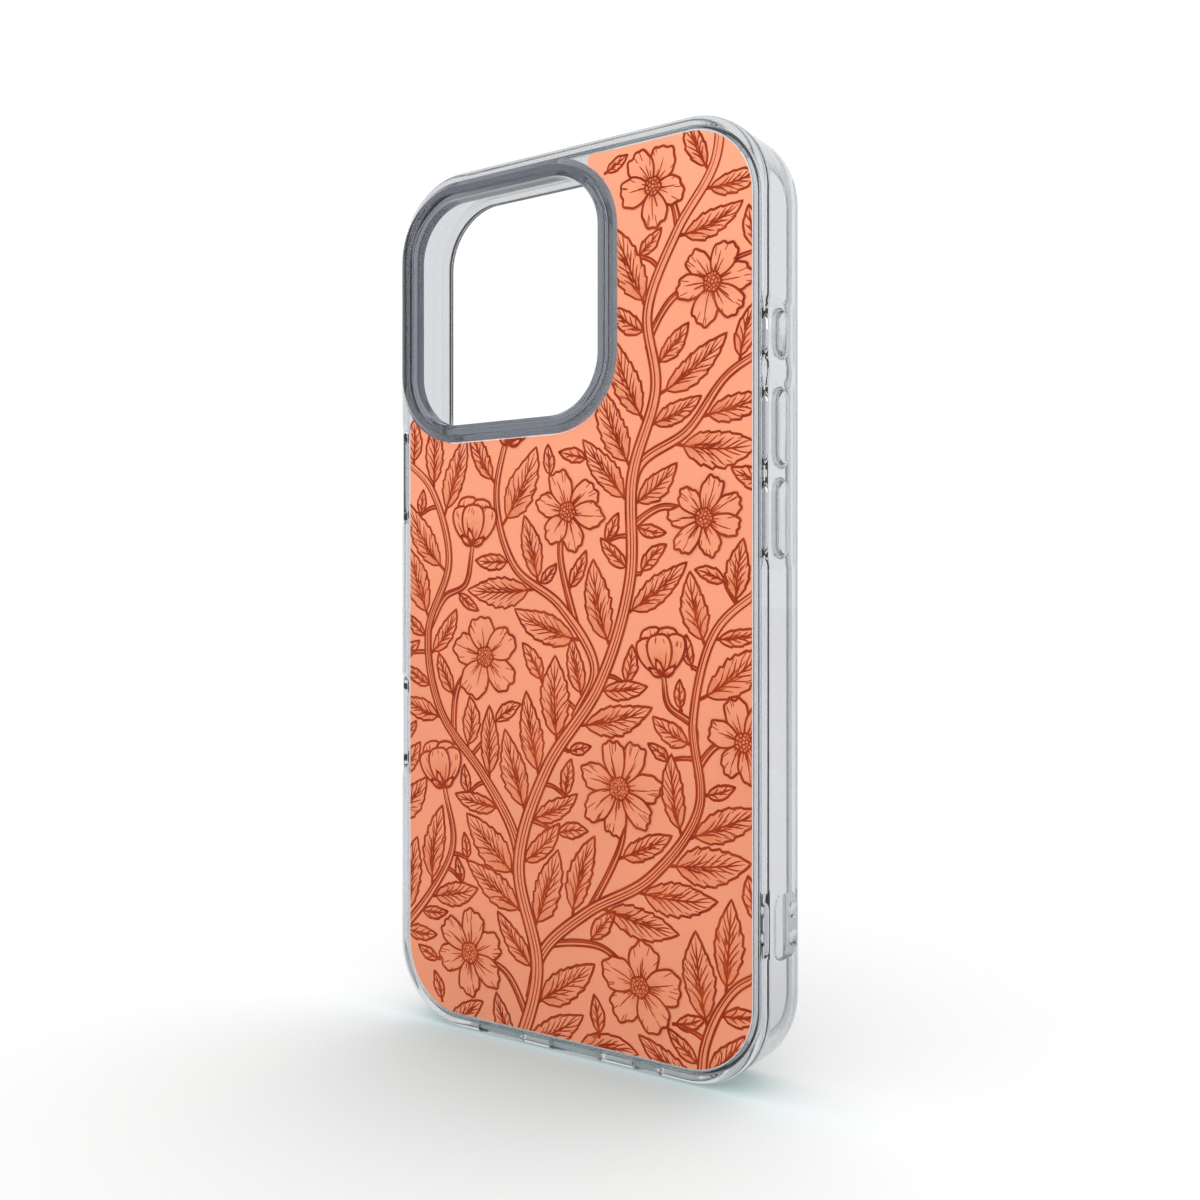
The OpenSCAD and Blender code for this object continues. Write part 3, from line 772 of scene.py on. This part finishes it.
def footprints(base, heading, length, bend, width):
    """Points spread over each of several possible leaves, and which of them fit: none of a leaf's points on a
    taken cell, and most of them printed."""
    t = np.linspace(0.3, 1, 9)
    heading, length, bend = (np.reshape(v, (-1, 1)) for v in (heading, length, bend))
    centre, normal = turning(np.reshape(base, (-1, 1, 2)), heading, length, bend, t)
    half, _ = blade_half(t, length, width, *LEAF_FORM)
    across = np.array([-1, -0.5, 0, 0.5, 1])
    points = centre[:, :, None] + normal[:, :, None] * (half[..., None] * across)[..., None]
    points = points.reshape(len(centre), -1, 2)
    fit = ~taken[cells(points)].any(-1) & ((printed(points) > 0).mean(-1) > 0.6)
    return points, np.flatnonzero(fit)


def teeth_for(length):
    """Saw teeth down each side of a leaf; the small leaves are smooth."""
    return int(length / 2.1) if length > 5 else 0


# Leaves grow up both sides of every stem: the longest first, each as close to the stem as it fits.
ANGLES = (0.42, 0.55, 0.7, 0.32, 0.85, 1.0)
for lengths in ((16, 15, 14, 13, 12, 11), (11, 10, 9, 8.2), (8, 7, 6.2)):
    length, angle = (v.ravel() for v in np.meshgrid(lengths, ANGLES, indexing="ij"))
    for path in stems:
        i, side = 3 + int(draw.integers(0, 3)), 1
        while i < len(path) - 2:
            along = math.atan2(*(path[i + 1] - path[i - 1])[::-1])
            for turn in (side, -side):
                heading = along + turn * angle
                bend = turn * (draw.uniform(-0.15, 0.35) - 0.55 * angle)
                width = draw.uniform(0.135, 0.185)
                points, fit = footprints(path[i], heading, length, bend, width)
                if len(fit):
                    k = fit[0]
                    blade(path[i], heading[k], length[k], bend[k], width, STEM_LEAF, teeth_for(length[k]))
                    block(points[k], LEAF_MARGIN)
            side = -side
            i += int(draw.integers(2, 4))


NOTHING_NEAR = 900.0


def clearance():
    """Distance from every second cell to the nearest taken one: first up and down the columns, then the least
    over each row of (columns between)^2 + (that column's distance)^2."""
    coarse = taken[::2, ::2]
    i = np.arange(coarse.shape[0])[:, None]
    column = np.where(coarse, 0.0, NOTHING_NEAR)
    below = np.minimum.accumulate(column - i) + i
    above = np.minimum.accumulate((column + i)[::-1])[::-1] - i
    column = np.minimum(below, above)
    k = np.arange(coarse.shape[1])
    return np.sqrt((column[:, None, :] ** 2 + (k[:, None] - k) ** 2).min(-1)) * 2 * CELL


# A loose leaf fills each gap that is left, on a stalk from the nearest stem if there is one near.
SMALLEST_GAP = 1.7
LOOSE_WIDTH = 0.17
TRIES = 14
row, column = np.mgrid[0:taken.shape[0]:2, 0:taken.shape[1]:2] * CELL
spots = np.stack([column, row], -1) + taken_low
every = np.vstack(stems)
for _ in range(40):
    room = np.where(printed(spots) > -0.5, clearance(), 0)
    if room.max() < SMALLEST_GAP:
        break
    for _ in range(5):
        index = np.unravel_index(room.argmax(), room.shape)
        radius, spot = room[index], spots[index]
        if radius < SMALLEST_GAP:
            break
        room[np.linalg.norm(spots - spot, axis=-1) < 2.2 * radius] = 0
        for length in radius * np.array([2.9, 2.5, 2.1, 1.8, 1.5]):
            if not 3 < length < 14:
                continue
            heading = draw.permutation(np.linspace(0.25, math.pi - 0.25, TRIES))
            bend = draw.uniform(-0.6, 0.6, TRIES)
            ray = np.stack([np.cos(heading), np.sin(heading)], -1)
            base = spot - length * 0.55 * ray
            points, fit = footprints(base, heading, np.full(TRIES, length), bend, LOOSE_WIDTH)
            if len(fit):
                k = fit[0]
                far = np.linalg.norm(base[k] - every, axis=1)
                root = every[far.argmin()]
                if far.min() < 9:
                    elbow = (root + base[k]) / 2 + 0.15 * far.min() * ray[k]
                    vine([root, elbow, base[k] + 0.6 * ray[k]], 0.55, 0.4, SPRIG_LEAF)
                blade(base[k], heading[k], length, bend[k], LOOSE_WIDTH, SPRIG_LEAF, teeth_for(length))
                block(points[k], 0.75)
                break
        else:
            block(spot[None], radius * 0.6)

LEVEL_STEP = 0.014 * MM
LINE_LIFT = 0.006 * MM
STROKE_STEP = 0.0002 * MM
STROKES_APART = 30
SLOPE_STEP = 0.01
LEAST_AREA = 1e-4


def printed_layer(name, motifs, lift):
    """One mesh of a layer's grids, each raised by its own level, and by a hair more than the one before it.
    It is cut at the print's edge: a quad wholly outside is dropped, and a corner outside is drawn back along
    the slope of its distance from the edge."""
    flat = np.vstack([grid.reshape(-1, 2) for grid, _, _ in motifs])
    depth = np.concatenate([
        np.full(grid[..., 0].size, ink_low.y - lift - level * LEVEL_STEP - k % STROKES_APART * STROKE_STEP)
        for k, (grid, _, level) in enumerate(motifs)])
    tone = np.concatenate([np.broadcast_to(tone, grid.shape[:2]).ravel() for grid, tone, _ in motifs])
    first = np.cumsum([0] + [grid[..., 0].size for grid, _, _ in motifs])
    quads = np.vstack([grid_faces(*grid.shape[:2], False, False) + k
                       for (grid, _, _), k in zip(motifs, first)])
    inside = printed(flat)
    slope = np.stack([printed(flat + step) - printed(flat - step) for step in np.eye(2) * SLOPE_STEP], -1)
    slope /= np.maximum(np.linalg.norm(slope, axis=1), TINY)[:, None]
    flat = flat - slope * np.minimum(inside, 0)[:, None]
    quads = quads[(inside[quads] > 0).any(1)]
    a, b, c, d = flat[quads].swapaxes(0, 1)
    area = cross(c - a, d - b)
    quads = np.where(area[:, None] < 0, quads[:, ::-1], quads)[abs(area) > LEAST_AREA]
    used, quads = np.unique(quads, return_inverse=True)
    mesh = bpy.data.meshes.new(name)
    points = np.stack([flat[used, 0] * MM, depth[used], flat[used, 1] * MM], -1)
    mesh.from_pydata(points.tolist(), [], quads.reshape(-1, 4).tolist())
    stored = mesh.attributes.new("tone", "FLOAT", "POINT")
    stored.data.foreach_set("value", np.clip(tone[used], 0, 1).astype("f"))
    return placed(name, mesh)


wash, tree, shader, add = node_material("Pattern wash ink", Roughness=0.45, Specular_IOR_Level=0.12)
tint, place = ground_colour(add)
stored = add("ShaderNodeAttribute", attribute_name="tone")
grain = add("ShaderNodeTexNoise", [("Vector", place.outputs["Object"])], in_Scale=1500, in_Detail=2.0)
speckle = add("ShaderNodeMapRange", [("Value", grain.outputs["Fac"])],
              in_From_Min=0.3, in_From_Max=0.7, in_To_Min=0.65, in_To_Max=1.2)
amount = add("ShaderNodeMath", [(0, stored.outputs["Fac"]), (1, speckle.outputs["Result"])],
             operation="MULTIPLY", use_clamp=True)
washed = add("ShaderNodeMix", [(0, amount.outputs[0]), (6, tint.outputs["Vector"])], data_type="RGBA")
washed.inputs[7].default_value = (0.60, 0.135, 0.038, 1)
tree.links.new(washed.outputs[2], shader.inputs["Base Color"])

pen, tree, shader, add = node_material("Pattern line ink", Roughness=0.42, Specular_IOR_Level=0.12)
place = add("ShaderNodeTexCoord")
flow = add("ShaderNodeTexNoise", [("Vector", place.outputs["Object"])], in_Scale=260, in_Detail=3.0)
strength = add("ShaderNodeValToRGB", [("Fac", flow.outputs["Fac"])])
two_tones(strength, (0.27, 0.02, 0.002), (0.385, 0.045, 0.008), 0.35, 0.7)
tree.links.new(strength.outputs["Color"], shader.inputs["Base Color"])

ribbons = []
for path, width, level in strokes:
    out = sideways(path) * (width / 2)[:, None]
    ribbons.append((np.stack([path - out, path + out], 1), 1.0, level))
finish_piece(printed_layer("print_washes", washes, LEVEL_STEP), wash, "case", "colour_ink")
finish_piece(printed_layer("print_linework", ribbons, LEVEL_STEP + LINE_LIFT), pen, "case", "colour_ink")

# --------------------------------------------------------------
# Lens guard
# A raised ring of smoke-tinted clear plastic, glued round the camera window. Its skirt
# lines the window, and its face steps down from a polished crest to a wide outer slope.
# --------------------------------------------------------------

BEVEL_WIDTH, BEVEL_DROP = 0.7 * MM, 0.9 * MM
CREST_END = 1.75 * MM
STEP_END, STEP_DROP = 2.05 * MM, 0.3 * MM
SLOPE_DROP = 1.15 * MM
FOOT_GAP = 0.01 * MM
crest_y, foot_y = guard_low.y, plate_low.y - FOOT_GAP
guard_profile = filleted(
    [(0, guard_high.y), (0, crest_y + BEVEL_DROP), (BEVEL_WIDTH, crest_y), (CREST_END, crest_y),
     (STEP_END, crest_y + STEP_DROP), (GUARD_WIDTH, crest_y + SLOPE_DROP), (GUARD_WIDTH, foot_y),
     (SKIRT_WIDTH, foot_y), (SKIRT_WIDTH, guard_high.y)],
    [0.1 * MM, 0.35 * MM, 0.35 * MM, 0.12 * MM, 0.12 * MM, 0.3 * MM, 0.05 * MM, 0.05 * MM, 0.1 * MM],
    arc_step=math.radians(9))
outline, normals = rounded_outline(window_middle, window_size, WINDOW_RADIUS, arc_steps=48)
smoke = clear_plastic("Smoke clear plastic", (0.19, 0.205, 0.235), 0.03, 0.02, 80)
finish_piece(solid("lens_guard_ring", [ring_part(carried_round(outline, normals, guard_profile))]),
             smoke, "case", "guard_plastic", "lens_guard")

# --------------------------------------------------------------
# Keys
# Four clear keys, each pushed out through its slot from the cavity: a rounded bar with a
# softly crowned face outside, and a flange inside that the web of the bumper holds back.
# --------------------------------------------------------------

FLANGE_THICK = 0.5 * MM
FLANGE_BEVEL = 0.08 * MM
KEY_ROUND = 0.3 * MM
key_clear = clear_plastic("Clear key plastic", (0.65, 0.665, 0.685), 0.05, 0.1, 120)
for node, body in key_nodes.items():
    low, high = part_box(node)
    side = np.sign(low.x)
    root, face = (low.x, high.x) if side > 0 else (high.x, low.x)
    stem = np.array([high.y - low.y, high.z - low.z]) - 2 * FLANGE_SPREAD
    centre = [(low.y + high.y) / 2, (low.z + high.z) / 2]
    stations = [(root, FLANGE_SPREAD - FLANGE_BEVEL), (root + side * FLANGE_BEVEL, FLANGE_SPREAD),
                (root + side * (FLANGE_THICK - FLANGE_BEVEL), FLANGE_SPREAD),
                (root + side * FLANGE_THICK, FLANGE_SPREAD - FLANGE_BEVEL), (root + side * FLANGE_THICK, 0)]
    turns = np.linspace(0, math.pi / 2, 6)
    stations += [(face - side * KEY_ROUND * (1 - math.sin(t)), -KEY_ROUND * (1 - math.cos(t))) for t in turns]
    form = plug("x", centre, stem, stem[0] / 2 - LEAST_STRAIGHT, stations, arc_steps=20)
    finish_piece(solid(node + "_key", [form]), key_clear, body, "clear_key", node)

# --------------------------------------------------------------
# Studio
# A wide sheet of white paper under an even bright sky, with soft light from overhead and a
# softbox in front. The camera is level with the case's middle, to the right of its back.
# --------------------------------------------------------------

FLOOR_RADIUS = 12.0
SHADE_REACH = 0.22
# The floor is rings of points round its middle, joined by a fan of triangles and then by quads.
rings = np.array([0.3, 1.0, 3.0, FLOOR_RADIUS])
turns = np.linspace(0, 2 * math.pi, 49)[:-1]
floor_grid = np.stack([np.outer(np.cos(turns), rings), np.outer(np.sin(turns), rings)], -1)
points = np.vstack([np.zeros((1, 3)), np.pad(floor_grid.reshape(-1, 2), ((0, 0), (0, 1)))])
spokes = np.arange(len(turns)) * len(rings) + 1
fan = np.stack([np.zeros_like(spokes), spokes, np.roll(spokes, -1)], -1)
quads = grid_faces(len(turns), len(rings), True, False) + 1
floor_mesh = bpy.data.meshes.new("studio_floor")
floor_mesh.from_pydata(points.tolist(), [], fan.tolist() + quads[:, ::-1].tolist())
floor = placed("studio_floor", floor_mesh)
paper, tree, shader, add = node_material("White paper", Roughness=0.9, Specular_IOR_Level=0.2)
# Painted shade: the paper's colour darkens to grey where ambient occlusion finds the case near, a painted
# contact shadow round its foot.
corner_shade = add("ShaderNodeAmbientOcclusion", samples=12, in_Distance=SHADE_REACH)
painted_shade_tint = add("ShaderNodeValToRGB", [("Fac", corner_shade.outputs["AO"])])
two_tones(painted_shade_tint, (0.42, 0.42, 0.42), (0.94, 0.94, 0.94))
# Painted light: where the floor looks up at the print, a painted cool tint takes off the print's warm bounce.
towards_print = add("ShaderNodeCombineXYZ", in_Y=0.6, in_Z=0.8)
print_seen = add("ShaderNodeAmbientOcclusion", [("Normal", towards_print.outputs[0])],
                 samples=12, in_Distance=SHADE_REACH)
painted_cool_tint = add("ShaderNodeValToRGB", [("Fac", print_seen.outputs["AO"])])
two_tones(painted_cool_tint, (0.82, 0.99, 1.0), (1, 1, 1), 0.4, 0.9)
painted_shade_and_cool_tint = add("ShaderNodeVectorMath", [(0, painted_shade_tint.outputs["Color"]), (1, painted_cool_tint.outputs["Color"])],
                 operation="MULTIPLY")
tree.links.new(painted_shade_and_cool_tint.outputs["Vector"], shader.inputs["Base Color"])
floor_mesh.materials.append(paper)

world = bpy.data.worlds.new("Studio")
bpy.context.scene.world = world
world.use_nodes = True
sky_tree = world.node_tree
sky = sky_tree.nodes["Background"]
direction, height, fade = (sky_tree.nodes.new("ShaderNode" + kind)
                           for kind in ("TexCoord", "SeparateXYZ", "MapRange"))
for socket, value in zip(("From Min", "From Max", "To Min", "To Max"), (0.45, 0.85, 1.08, 0.5)):
    fade.inputs[socket].default_value = value
sky.inputs["Color"].default_value = (1, 1, 1, 1)
sky_tree.links.new(direction.outputs["Generated"], height.inputs[0])
sky_tree.links.new(height.outputs["Z"], fade.inputs["Value"])
sky_tree.links.new(fade.outputs["Result"], sky.inputs["Strength"])


def lamp(name, kind, offset, power, **settings):
    """A light at offset from the case's middle, facing it."""
    light = bpy.data.lights.new(name, kind)
    light.energy = power
    for key, value in settings.items():
        setattr(light, key, value)
    piece = placed(name, light)
    piece.location = (middle[0], 0, middle[1]) + np.array(offset)
    aim = piece.location.copy()
    aim[:] = -np.array(offset)
    piece.rotation_mode = "QUATERNION"
    piece.rotation_quaternion = aim.to_track_quat("-Z", "Y")


lamp("overhead", "SUN", (0.15, -0.15, 1.0), 1.1, angle=math.radians(80))
lamp("front_softbox", "AREA", (0.5, -0.8, 0.5), 1.0, shape="SQUARE", size=0.5)

VIEW_AZIMUTH = math.radians(34.3)
VIEW_DISTANCE = 0.2199
VIEW_BESIDE = 0.00315
camera_data = bpy.data.cameras.new("camera")
camera_data.lens, camera_data.sensor_width = 38.2, 36
camera_data.clip_start, camera_data.clip_end = 0.01, 50
camera = placed("camera", camera_data)
right = np.array([math.cos(VIEW_AZIMUTH), math.sin(VIEW_AZIMUTH), 0])
ahead = np.array([-math.sin(VIEW_AZIMUTH), math.cos(VIEW_AZIMUTH), 0])
camera.location = np.array([0, 0, middle[1]]) + right * VIEW_BESIDE - ahead * VIEW_DISTANCE
camera.rotation_euler = (math.pi / 2, 0, VIEW_AZIMUTH)
bpy.context.scene.camera = camera
bpy.context.scene.view_settings.view_transform = "Standard"
